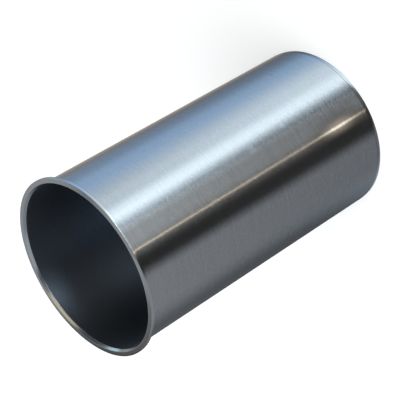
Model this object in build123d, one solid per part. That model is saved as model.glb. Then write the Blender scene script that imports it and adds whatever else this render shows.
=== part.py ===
from build123d import *
import os

# A dry cylinder liner: one thin steel tube with a small collar round its top end.
# Lengths are in millimetres. The tube's axis is Z, its skirt ends at z = 0 and the
# collar's top face is at z = total_length.

bore_diameter = 102.0    # honed surface that the piston runs in
wall = 1.0               # thickness of the tube behind that surface
total_length = 192.6     # skirt end to the collar's top face
collar_overhang = 3.15   # how far the collar stands out past the tube, all round
collar_thickness = 2.0   # top face to the seat that lands in the block's recess
lead_length = 2.6        # tapered lead-in on the outside of the skirt

# Radii and heights that follow from those.
bore_radius = bore_diameter / 2
body_radius = bore_radius + wall
collar_radius = body_radius + collar_overhang
seat_height = total_length - collar_thickness

# Small edges, each sized from the wall or the collar it sits on.
mouth_reach = 1.2 * wall                    # bore mouth's bevel, measured outwards
mouth_depth = 1.45 * wall                   # and measured down the bore
lead_drop = 0.25 * wall                     # how far the lead-in comes inside the tube
skirt_break = 0.3 * wall                    # bevel on the bore's lower edge
root_radius = 0.7 * wall                    # hollow corner under the collar
top_round = 0.2 * collar_thickness          # collar's upper outer edge
seat_break = 0.1 * collar_thickness         # collar's lower outer edge

# Half section in the XZ plane, walked once round: up the outside, over the collar,
# and back down the bore.
skirt_inner = (bore_radius + skirt_break, 0)
skirt_outer = (body_radius - lead_drop, 0)
lead_top = (body_radius, lead_length)
root_low = (body_radius, seat_height - root_radius)
root_high = (body_radius + root_radius, seat_height)
seat_edge = (collar_radius - seat_break, seat_height)
rim_low = (collar_radius, seat_height + seat_break)
rim_high = (collar_radius, total_length - top_round)
face_outer = (collar_radius - top_round, total_length)
face_inner = (bore_radius + mouth_reach, total_length)
bore_top = (bore_radius, total_length - mouth_depth)
bore_low = (bore_radius, skirt_break)

with BuildPart() as liner:
    with BuildSketch(Plane.XZ):
        with BuildLine():
            Polyline(skirt_inner, skirt_outer, lead_top, root_low)
            RadiusArc(root_low, root_high, root_radius)
            Polyline(root_high, seat_edge, rim_low, rim_high)
            RadiusArc(rim_high, face_outer, -top_round)
            Polyline(face_outer, face_inner, bore_top, bore_low, skirt_inner)
        make_face()
    revolve(axis=Axis.Z)

body = liner.part.solids()[0]
body.label = "cylinder_liner"

os.makedirs("parts", exist_ok=True)
export_step(body, "parts/cylinder_liner.step")
print("cylinder_liner", round(body.volume), "cubic mm,", len(body.faces()), "faces")
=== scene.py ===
import math

import bmesh
import bpy
from mathutils import Matrix, Vector


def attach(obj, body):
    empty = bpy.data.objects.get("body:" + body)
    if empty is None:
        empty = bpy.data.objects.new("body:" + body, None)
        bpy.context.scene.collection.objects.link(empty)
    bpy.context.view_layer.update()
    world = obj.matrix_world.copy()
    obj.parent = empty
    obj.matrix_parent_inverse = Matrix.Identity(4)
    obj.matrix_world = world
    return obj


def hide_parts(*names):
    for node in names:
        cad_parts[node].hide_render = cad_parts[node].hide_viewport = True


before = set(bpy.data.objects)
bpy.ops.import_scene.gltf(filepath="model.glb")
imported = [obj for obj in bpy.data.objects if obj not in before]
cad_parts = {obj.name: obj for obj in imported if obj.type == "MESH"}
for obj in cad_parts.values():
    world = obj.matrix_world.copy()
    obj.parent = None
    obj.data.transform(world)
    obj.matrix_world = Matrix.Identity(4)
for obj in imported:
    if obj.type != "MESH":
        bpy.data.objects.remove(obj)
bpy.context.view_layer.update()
print("stage: frame loaded")

scene = bpy.context.scene
scene.view_settings.view_transform = "Standard"


class Wire:
    # one output socket; arithmetic on it adds Math nodes
    def __init__(self, board, socket):
        self.board = board
        self.socket = socket

    def __add__(self, other):
        return self.board.math("ADD", self, other)

    def __sub__(self, other):
        return self.board.math("SUBTRACT", self, other)

    def __rsub__(self, other):
        return self.board.math("SUBTRACT", other, self)

    def __mul__(self, other):
        return self.board.math("MULTIPLY", self, other)

    def __neg__(self):
        return self * -1.0

    __radd__ = __add__
    __rmul__ = __mul__

    def limit(self, low, high):
        return self.board.math("MINIMUM", self.board.math("MAXIMUM", self, low), high)

    def smooth(self, low, high, start=0.0, end=1.0):
        values = {"Value": self, "From Min": low, "From Max": high, "To Min": start, "To Max": end}
        return self.board.add("ShaderNodeMapRange", {"interpolation_type": "SMOOTHSTEP"}, values)


class Board:
    # a node tree, emptied, with one way to add a node
    def __init__(self, tree):
        self.tree = tree
        tree.nodes.clear()

    def add(self, kind, settings=None, values=None, out=0):
        node = self.tree.nodes.new(kind)
        for name, value in (settings or {}).items():
            setattr(node, name, value)
        for name, value in (values or {}).items():
            if isinstance(value, Wire):
                self.tree.links.new(value.socket, node.inputs[name])
            else:
                node.inputs[name].default_value = value
        return Wire(self, node.outputs[out]) if len(node.outputs) else None

    def math(self, operation, *values):
        return self.add("ShaderNodeMath", {"operation": operation}, dict(enumerate(values)))

    def vector(self, operation, *values, out=0):
        settings = {"operation": operation}
        return self.add("ShaderNodeVectorMath", settings, dict(enumerate(values)), out)

    def scale(self, colour, factor):
        values = {0: colour, "Scale": factor}
        return self.add("ShaderNodeVectorMath", {"operation": "SCALE"}, values)

    def blend(self, factor, first, second):
        values = {0: factor, 6: first, 7: second}  # Factor, and the colours A and B
        return self.add("ShaderNodeMix", {"data_type": "RGBA"}, values, out=2)

    def split(self, vector):
        x = self.add("ShaderNodeSeparateXYZ", None, {0: vector})
        outputs = x.socket.node.outputs
        return x, Wire(self, outputs[1]), Wire(self, outputs[2])

    def join(self, x, y, z):
        return self.add("ShaderNodeCombineXYZ", None, {0: x, 1: y, 2: z})

    def grain(self, vector, detail=2.0, rough=0.5):
        values = {"Vector": vector, "Scale": 1.0, "Detail": detail, "Roughness": rough}
        return self.add("ShaderNodeTexNoise", None, values)


linerShape = {
    "boreRadius": 0.0510,
    "bodyRadius": 0.0520,
    "collarRadius": 0.05515,
    "length": 0.1926,
    "collarThickness": 0.0020,
    "mouthReach": 0.0012,
    "mouthDepth": 0.00145,
    "leadLength": 0.0026,
    "leadDrop": 0.00025,
    "skirtBreak": 0.0003,
    "rootRound": 0.0007,
    "topRound": 0.0004,
    "seatBreak": 0.0002,
    "edgeBreak": 0.00006,
    "mouthRound": 0.00035,
    "hold": 0.00015,                               # loops that keep the flats flat
    "steps": 288,
    "segments": {"root": 6, "top": 6, "seat": 1, "mouth": 4, "edge": 2},
    "weld": 1e-7,
    "match": 1e-6,                                 # how near to its corner a rounded edge lies
    "sharpAngle": 22,                              # degrees
}


def linerSection(shape):
    # half section, walked once round: radius and height of each corner
    bore, body, collar = shape["boreRadius"], shape["bodyRadius"], shape["collarRadius"]
    top, lead, hold, small = shape["length"], shape["leadLength"], shape["hold"], shape["edgeBreak"]
    seat = top - shape["collarThickness"]
    mouthTop = Vector((bore + shape["mouthReach"], top))
    mouthFoot = Vector((bore, top - shape["mouthDepth"]))
    down = (mouthFoot - mouthTop).normalized()
    leadStart, leadEnd = Vector((body - shape["leadDrop"], 0.0)), Vector((body, lead))
    return [
        (bore + shape["skirtBreak"], 0.0),
        leadStart,
        leadEnd.lerp(leadStart, (small + hold) / lead),
        leadEnd,
        (body, lead + small + hold),
        (body, seat - shape["rootRound"] - hold),
        (body, seat),
        (collar, seat),
        (collar, seat + shape["seatBreak"] + hold),
        (collar, top - shape["topRound"] - hold),
        (collar, top),
        (collar - shape["topRound"] - hold, top),
        (mouthTop.x + small + hold, top),
        mouthTop,
        mouthTop + down * (small + hold),
        mouthFoot - down * (shape["mouthRound"] + hold),
        mouthFoot,
        (bore, mouthFoot.y - shape["mouthRound"] - hold),
        (bore, shape["skirtBreak"]),
    ]


def roundOff(mesh, shape, radius, height, offset, segments):
    chosen = [edge for edge in mesh.edges
              if all(abs(vert.co.z - height) < shape["match"]
                     and abs(vert.co.xy.length - radius) < shape["match"] for vert in edge.verts)]
    bmesh.ops.bevel(mesh, geom=chosen, offset=offset, offset_type="OFFSET", segments=segments,
                    profile=0.5, affect="EDGES", material=-1, clamp_overlap=True)


def spinLiner(shape):
    bore, body, collar = shape["boreRadius"], shape["bodyRadius"], shape["collarRadius"]
    top, small, cuts = shape["length"], shape["edgeBreak"], shape["segments"]
    seat = top - shape["collarThickness"]
    mesh = bmesh.new()
    ring = [mesh.verts.new((radius, 0.0, height)) for radius, height in linerSection(shape)]
    edges = [mesh.edges.new((ring[i], ring[(i + 1) % len(ring)])) for i in range(len(ring))]
    bmesh.ops.spin(mesh, geom=ring + edges, cent=(0, 0, 0), axis=(0, 0, 1), dvec=(0, 0, 0),
                   angle=math.tau, steps=shape["steps"], use_merge=True, use_duplicate=False)
    bmesh.ops.remove_doubles(mesh, verts=mesh.verts, dist=shape["weld"])
    roundOff(mesh, shape, body, seat, shape["rootRound"], cuts["root"])
    roundOff(mesh, shape, collar, top, shape["topRound"], cuts["top"])
    roundOff(mesh, shape, collar, seat, shape["seatBreak"], cuts["seat"])
    roundOff(mesh, shape, bore + shape["mouthReach"], top, small, cuts["edge"])
    roundOff(mesh, shape, bore, top - shape["mouthDepth"], shape["mouthRound"], cuts["mouth"])
    roundOff(mesh, shape, body, shape["leadLength"], small, cuts["edge"])
    roundOff(mesh, shape, body - shape["leadDrop"], 0.0, small, cuts["edge"])
    bmesh.ops.recalc_face_normals(mesh, faces=mesh.faces)
    return mesh


finishNames = ("groundOutside", "turnedFace", "turnedLand", "honedBore", "bevelledMouth")
zoneLimits = {
    "boreFacing": -0.95,                           # how far a face looks outwards, from -1 to 1
    "mouthFacing": -0.1,
    "mouthDrop": 0.003,                            # how far the mouth's zone reaches below the top
    "seatDrop": 0.001,                             # how far the collar's reaches below the seat
    "upFacing": 0.5,
    "bodyGap": 0.0001,
}


def finishOf(face, shape, limits):
    centre = face.calc_center_median()
    outward = face.normal.xy.dot(centre.xy.normalized())
    onCollar = centre.z > shape["length"] - shape["collarThickness"] - limits["seatDrop"]
    if outward < limits["boreFacing"]:
        return "honedBore"
    if outward < limits["mouthFacing"] and centre.z > shape["length"] - limits["mouthDrop"]:
        return "bevelledMouth"
    if onCollar and face.normal.z > limits["upFacing"]:
        return "turnedFace"
    if onCollar and centre.xy.length > shape["bodyRadius"] + limits["bodyGap"]:
        return "turnedLand"
    return "groundOutside"


def buildLiner(shape, limits):
    mesh = spinLiner(shape)
    for face in mesh.faces:
        face.material_index = finishNames.index(finishOf(face, shape, limits))
        face.smooth = True
    data = bpy.data.meshes.new("linerTube")
    mesh.to_mesh(data)
    mesh.free()
    data.set_sharp_from_angle(angle=math.radians(shape["sharpAngle"]))
    piece = bpy.data.objects.new("linerTube", data)
    scene.collection.objects.link(piece)
    return piece


liner = buildLiner(linerShape, zoneLimits)
print("stage: liner tube made,", len(liner.data.polygons), "faces")

noiseSpan = (0.3, 0.7)                             # nearly all of a noise's values lie in here

groundOutside = {
    "colour": (0.56, 0.565, 0.575),
    "roughness": 0.168,
    "roughSpread": 0.02,
    "stretch": 0.95,
    "lineDepth": (0.91, 1.06),                     # darkest and lightest grinding line
    # grinding lines: how fine they are round the tube and along it, and their share in the sum
    "fine": {"round": 160.0, "along": 1900.0, "detail": 2.0, "rough": 0.6, "share": 0.3},
    "broad": {"round": 30.0, "along": 650.0, "detail": 2.0, "rough": 0.5, "share": 0.2},
    "short": {"round": 850.0, "along": 1700.0, "detail": 1.0, "rough": 0.5, "share": 0.5},
    "stray": {"round": 22.0, "along": 2600.0, "detail": 0.0, "rough": 0.5,
              "span": (0.70, 0.78), "shade": 0.05},
    "bump": {"distance": 0.0000008, "shortShare": 5.0},
    # the lead's line darkening is painted shade, standing in for a fine groove where the lead-in
    # starts
    "lead": {"end": 0.0026, "line": (0.0001, 0.0004), "lineShade": 0.62,
             "fade": 0.0003, "shade": 1.12},
    "spotCore": 0.35,                              # share of a spot's width that has its full shade
    "spots": {                                     # place, width, shade
        "pit": ((0.0408, -0.0322, 0.0340), 0.0008, 0.55),
        "blot": ((0.0110, -0.0508, 0.0616), 0.0026, 1.22),
        "smudge": ((0.0086, -0.0513, 0.0891), 0.0036, 1.17),
        "dirt": ((0.0003, -0.0520, 0.1892), 0.0008, 0.60),
        "speck": ((0.0383, -0.0351, 0.1411), 0.0008, 0.75),
    },
    "polish": {
        "place": (-0.0058, -0.0517, 0.0262),
        "reach": (0.0110, 0.0110, 0.0290),
        "core": 0.15,
        "roughness": 0.051,
        "bumpLoss": 0.5,
    },
}
turnedFace = {"colour": (0.50, 0.50, 0.50), "roughness": 0.11, "stretch": 0.7}
turnedLand = {"colour": (0.61, 0.615, 0.625), "roughness": 0.16, "stretch": 0.9}
bevelledMouth = {"colour": (0.58, 0.58, 0.58), "roughness": 0.20, "stretch": 0.8}
turningMarks = {"across": 2600.0, "drift": 8.0, "depth": (0.94, 1.06), "roughSpread": 0.03}
honedBore = {
    "colour": (0.245, 0.265, 0.295),
    # painted light: the bore is drawn lighter and bluer deeper down, in place of light reaching
    # inside
    "deepColour": (0.284, 0.329, 0.394),
    "depths": (0.168, 0.132),                      # heights between which the painted light comes in, lighter and bluer deeper in the bore
    "roughness": 0.45,
    "roughSpread": 0.05,
    "stretch": 0.6,
    "hatch": {"slope": 34.0, "round": 150.0, "along": 6.0, "detail": 2.0, "rough": 0.6,
              "span": (0.35, 0.65), "depth": (0.88, 1.12)},
}


def grindingLines(board, x, y, z, lines):
    # noise that is fine along Z and long round the axis
    drawn = board.join(x * lines["round"], y * lines["round"], z * lines["along"])
    return board.grain(drawn, lines["detail"], lines["rough"])


def groundPaint(board, place, look):
    x, y, z = board.split(place)
    fine, broad, short, stray = (grindingLines(board, x, y, z, look[name])
                                 for name in ("fine", "broad", "short", "stray"))
    lines = fine * look["fine"]["share"] + broad * look["broad"]["share"]
    lines = lines + short * look["short"]["share"]
    shade = lines.smooth(*noiseSpan, *look["lineDepth"])
    shade = shade + stray.smooth(*look["stray"]["span"], 0.0, look["stray"]["shade"])

    lead = look["lead"]                            # lead-in, and the thin dark line where it starts, which is painted shade of a fine groove at that step
    corner = board.math("ABSOLUTE", z - lead["end"])
    # painted shade: a thin dark ring at the start of the lead-in, in place of a groove's shadow
    shade = shade * corner.smooth(*lead["line"], lead["lineShade"], 1.0)
    shade = shade * z.smooth(lead["end"] - lead["fade"], lead["end"], lead["shade"], 1.0)
    for spot, width, level in look["spots"].values():
        away = board.vector("DISTANCE", place, spot, out=1)
        shade = shade * away.smooth(width * look["spotCore"], width, level, 1.0)

    polish = look["polish"]                        # patch that is worn smoother than the rest
    shift = board.vector("SUBTRACT", place, polish["place"])
    shift = board.vector("DIVIDE", shift, polish["reach"])
    worn = board.vector("LENGTH", shift, out=1).smooth(polish["core"], 1.0, 1.0, 0.0)
    rough, spread = look["roughness"], look["roughSpread"]
    change = polish["roughness"] - rough
    rough = lines.smooth(*noiseSpan, rough - spread, rough + spread) + worn * change

    bump = look["bump"]
    height = (lines + short * bump["shortShare"]) * (1.0 - worn * polish["bumpLoss"])
    values = {"Strength": 1.0, "Distance": bump["distance"], "Height": height}
    normal = board.add("ShaderNodeBump", None, values)
    return {"Base Color": board.scale(look["colour"], shade), "Roughness": rough, "Normal": normal}


def ringPaint(board, place, look):
    # turning marks, rings about the axis
    x, y, z = board.split(place)
    radius = board.math("POWER", x * x + y * y, 0.5)
    across, drift = turningMarks["across"], turningMarks["drift"]
    rings = board.grain(board.join(radius * across, z * across, x * drift))
    shade = rings.smooth(*noiseSpan, *turningMarks["depth"])
    rough, spread = look["roughness"], turningMarks["roughSpread"]
    return {"Base Color": board.scale(look["colour"], shade),
            "Roughness": rings.smooth(*noiseSpan, rough - spread, rough + spread)}


def borePaint(board, place, look):
    # honing leaves two crossed families of helical lines
    x, y, z = board.split(place)
    around = board.math("ARCTAN2", y, x)
    lines = look["hatch"]

    def helix(slope):
        turn = around + z * slope
        across = board.math("COSINE", turn) * lines["round"]
        along = board.math("SINE", turn) * lines["round"]
        drawn = board.join(across, along, z * lines["along"])
        return board.grain(drawn, lines["detail"], lines["rough"])

    hatch = (helix(lines["slope"]) + helix(-lines["slope"])) * 0.5
    start, end = look["depths"]
    # painted light: below these heights the bore's colour is lighter and bluer
    colour = board.blend(z.smooth(end, start), (*look["deepColour"], 1.0), (*look["colour"], 1.0))
    rough, spread = look["roughness"], look["roughSpread"]
    return {"Base Color": board.scale(colour, hatch.smooth(*lines["span"], *lines["depth"])),
            "Roughness": hatch.smooth(*noiseSpan, rough - spread, rough + spread)}


def makeSteel(name, look, paint):
    material = bpy.data.materials.new(name)
    material.use_nodes = True
    board = Board(material.node_tree)
    place = board.add("ShaderNodeTexCoord", out=3)                     # Object coordinates
    values = {"Metallic": 1.0, "IOR": 1.5, "Anisotropic": look["stretch"],
              "Anisotropic Rotation": 0.25}
    values.update(paint(board, place, look))
    shader = board.add("ShaderNodeBsdfPrincipled", None, values)
    board.add("ShaderNodeOutputMaterial", None, {"Surface": shader})
    return material


finishes = {
    "groundOutside": (groundOutside, groundPaint),
    "turnedFace": (turnedFace, ringPaint),
    "turnedLand": (turnedLand, ringPaint),
    "honedBore": (honedBore, borePaint),
    "bevelledMouth": (bevelledMouth, ringPaint),
}
for name in finishNames:
    liner.data.materials.append(makeSteel(name, *finishes[name]))

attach(liner, "root")
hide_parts("cylinder_liner")
print("stage: steel finishes made")

# What the steel mirrors. Each card stands round the liner from one bearing to another, in degrees
# from the front, with soft edges. Lift brightens it upwards, lean tilts it, and rise is the
# lowest and highest height that it covers and how soft those edges are. A later card stands
# before an earlier one.
lowCards = {
    "warmBack": {"span": (-192.2, -151.6), "soft": (8, 45), "light": (0.60, 0.53, 0.445),
                 "lift": -1.6, "lean": 60},
    "duskBlue": {"span": (-142.6, -119.1), "soft": (10, 22.5), "light": (0.193, 0.234, 0.298),
                 "lift": 3.7, "lean": -5},
    "blueWindow": {"span": (-117, -68), "soft": (39.5, 18), "light": (0.43, 0.633, 0.904),
                   "lift": 0.2, "lean": -31},
    "paleWindow": {"span": (-79.2, -41.2), "soft": (39.5, 4), "light": (0.94, 1.11, 1.24),
                   "lift": -1.3, "lean": 15},
    "brightWindow": {"span": (-47.9, -25.6), "soft": (19, 15.4), "light": (1.615, 1.876, 2.02),
                     "lift": 2.5, "lean": 60},
    "shoulder": {"span": (-28.7, -21.3), "soft": (27, 5.3), "light": (0.32, 0.395, 0.46),
                 "lift": 3.3, "lean": 24},
    "greyFront": {"span": (-19.6, 9.7), "soft": (2.9, 21.4), "light": (0.302, 0.316, 0.322),
                  "lift": 6.8, "lean": 29},
    "dimCard": {"span": (17.9, 47.2), "soft": (4.2, 42.3), "light": (0.036, 0.0365, 0.036),
                "lift": -1.4, "lean": 42},
    "greySide": {"span": (46.8, 138.6), "soft": (18.5, 21.3), "light": (0.237, 0.251, 0.269),
                 "lift": 2.9, "lean": -28},
    "dimSide": {"span": (109.3, 168.7), "soft": (45, 12), "light": (0.086, 0.094, 0.103),
                "lift": 3.7, "lean": 60},
    "lowSide": {"span": (109.9, 168.2), "soft": (39.7, 10), "light": (0.307, 0.366, 0.428),
                "lift": -0.3, "lean": 27, "rise": (-2.0, -0.64, 0.06)},
    "lowFront": {"span": (-5, 11.5), "soft": (9, 9), "light": (0.252, 0.241, 0.230),
                 "rise": (-0.655, -0.638, 0.010)},
    "stripLamp": {"span": (12.6, 13.4), "soft": (0.8, 3.0), "light": (1.28, 1.08, 0.75),
                  "lift": 10.0},
    "hotHalo": {"span": (4.8, 21), "soft": (15.7, 16), "light": (0.95, 0.81, 0.64),
                "rise": (-0.649, -0.633, 0.016)},
    "hotLamp": {"span": (11.7, 15.2), "soft": (3.2, 3.2), "light": (4.5, 4.1, 3.4),
                "rise": (-0.645, -0.637, 0.012)},
}
highCards = {
    "room": {"span": (-180, 180), "light": (0.22, 0.23, 0.25)},
    "coldBack": {"span": (-131.5, -115), "soft": (6, 12), "light": (0.66, 0.93, 1.10)},
    "darkLeft": {"span": (-112, -71), "soft": (14, 12), "light": (0.08, 0.085, 0.09)},
    "warmGlow": {"span": (-66, -6), "soft": (12, 16), "light": (0.78, 0.70, 0.50),
                 "rise": (0.5, 2.0, 0.1)},
    "darkGap": {"span": (13, 30), "soft": (14, 12), "light": (0.10, 0.10, 0.10)},
    "whiteGlow": {"span": (-26, 8), "soft": (10, 10), "light": (5.2, 7.0, 8.6),
                  "rise": (-1.0, 0.16, 0.10)},
    "sideGlow": {"span": (35, 88), "soft": (10, 20), "light": (0.44, 0.49, 0.55),
                 "rise": (0.35, 2.0, 0.2)},
    "sideRoom": {"span": (88, 140), "soft": (20, 20), "light": (0.27, 0.31, 0.35)},
    "darkBack": {"span": (150, 182), "soft": (30, 1.2), "light": (0.14, 0.138, 0.143),
                 "lift": 24.0},
    "paleBack": {"span": (177.8, 222), "soft": (1.2, 10), "light": (0.43, 0.465, 0.50),
                 "lean": -22},
    "darkWedge": {"span": (182.4, 183.5), "soft": (0.6, 0.6), "light": (0.04, 0.04, 0.05),
                  "rise": (0.494, 0.6, 0.006)},
}
studioLevels = {
    "dark": (0.022, 0.022, 0.022),                 # behind the low cards
    "lowMiddle": -0.588,                           # heights where lift and lean do nothing
    "highMiddle": 0.48,
    "reach": (-0.1, 0.3),                          # how far from there they go on
    "liftLimits": (0.35, 4.0),
    "join": (0.0, 0.08),                           # heights where the high cards take over
}


def standCards(board, bearing, z, cards, middle, levels):
    height = (z - middle).limit(*levels["reach"])
    colour = (*levels["dark"], 1.0)
    for card in cards.values():
        start, end = card["span"]
        centre, half = (start + end) / 2, (end - start) / 2
        cover = 1.0
        if half < 180:
            away = bearing - centre
            if "lean" in card:
                away = away - height * card["lean"]
            away = board.math("WRAP", away, 180.0, -180.0)
            softStart, softEnd = card["soft"]
            cover = away.smooth(-half - softStart / 2, -half + softStart / 2)
            cover = cover * away.smooth(half + softEnd / 2, half - softEnd / 2)
        if "rise" in card:
            low, high, soft = card["rise"]
            cover = cover * z.smooth(low - soft / 2, low + soft / 2)
            cover = cover * z.smooth(high + soft / 2, high - soft / 2)
        light = (*card["light"], 1.0)
        if "lift" in card:
            lift = (height * card["lift"] + 1.0).limit(*levels["liftLimits"])
            light = board.scale(card["light"], lift)
        colour = board.blend(cover, colour, light)
    return colour


def buildWorld(levels):
    world = bpy.data.worlds.new("studioWorld")
    scene.world = world
    world.use_nodes = True
    board = Board(world.node_tree)
    x, y, z = board.split(board.add("ShaderNodeTexCoord"))             # direction of the ray
    bearing = board.math("ARCTAN2", -x, -y) * math.degrees(1.0)
    low = standCards(board, bearing, z, lowCards, levels["lowMiddle"], levels)
    high = standCards(board, bearing, z, highCards, levels["highMiddle"], levels)
    colour = board.blend(z.smooth(*levels["join"]), low, high)
    seen = board.add("ShaderNodeLightPath")                            # Is Camera Ray
    studio = board.add("ShaderNodeBackground", None, {"Color": colour, "Strength": 1.0})
    white = board.add("ShaderNodeBackground", None, {"Color": (1, 1, 1, 1), "Strength": 1.0})
    both = board.add("ShaderNodeMixShader", None, {0: seen, 1: studio, 2: white})
    board.add("ShaderNodeOutputWorld", None, {"Surface": both})


buildWorld(studioLevels)

lampPlan = {"place": (-0.35, -0.45, 1.5), "size": 2.4, "power": 26.0}


def buildLamp(plan):
    lamp = bpy.data.lights.new("overheadLamp", "AREA")
    lamp.shape = "DISK"
    lamp.size = plan["size"]
    lamp.energy = plan["power"]
    piece = bpy.data.objects.new("overheadLamp", lamp)
    piece.location = plan["place"]
    piece.rotation_euler = (-Vector(plan["place"])).to_track_quat("-Z", "Y").to_euler()
    piece.visible_glossy = False                   # the steel mirrors the cards instead
    scene.collection.objects.link(piece)


buildLamp(lampPlan)

floorPlan = {"half": 6.0, "paint": 0.8, "glow": 0.38}


def buildFloor(plan):
    mesh = bmesh.new()
    bmesh.ops.create_grid(mesh, x_segments=1, y_segments=1, size=plan["half"])
    data = bpy.data.meshes.new("studioFloor")
    mesh.to_mesh(data)
    mesh.free()
    floor = bpy.data.objects.new("studioFloor", data)
    scene.collection.objects.link(floor)
    material = bpy.data.materials.new("paleFloor")
    material.use_nodes = True
    board = Board(material.node_tree)
    level = plan["paint"]
    matt = board.add("ShaderNodeBsdfDiffuse", None, {"Color": (level, level, level, 1)})
    seen = board.add("ShaderNodeLightPath")                            # Is Camera Ray
    shine = {"Color": (1, 1, 1, 1), "Strength": seen * plan["glow"]}
    glow = board.add("ShaderNodeEmission", None, shine)
    both = board.add("ShaderNodeAddShader", None, {0: matt, 1: glow})
    board.add("ShaderNodeOutputMaterial", None, {"Surface": both})
    data.materials.append(material)
    floor.visible_glossy = False


buildFloor(floorPlan)
print("stage: studio made")

cameraPlan = {
    "lens": 132.276,
    "sensor": 36.0,
    "clip": (0.01, 50.0),                          # nearest and farthest distance that is drawn
    "distance": 0.86146,
    "aim": (-0.00079, 0.0, 0.10266),
    "turn": 0.063,                                 # degrees, as rise and roll are
    "rise": 33.8585,
    "roll": -121.195,
}


def buildCamera(plan):
    view = bpy.data.cameras.new("photoCamera")
    view.sensor_width = plan["sensor"]
    view.lens = plan["lens"]
    view.clip_start, view.clip_end = plan["clip"]
    camera = bpy.data.objects.new("photoCamera", view)
    scene.collection.objects.link(camera)
    turn, rise = math.radians(plan["turn"]), math.radians(plan["rise"])
    look = Vector((-math.sin(turn) * math.cos(rise), math.cos(turn) * math.cos(rise),
                   -math.sin(rise)))
    aim = Vector(plan["aim"])
    upright = look.to_track_quat("-Z", "Y").to_matrix().to_4x4()
    roll = Matrix.Rotation(math.radians(plan["roll"]), 4, "Z")
    camera.matrix_world = Matrix.Translation(aim - look * plan["distance"]) @ upright @ roll
    scene.camera = camera


buildCamera(cameraPlan)
print("stage: camera made")
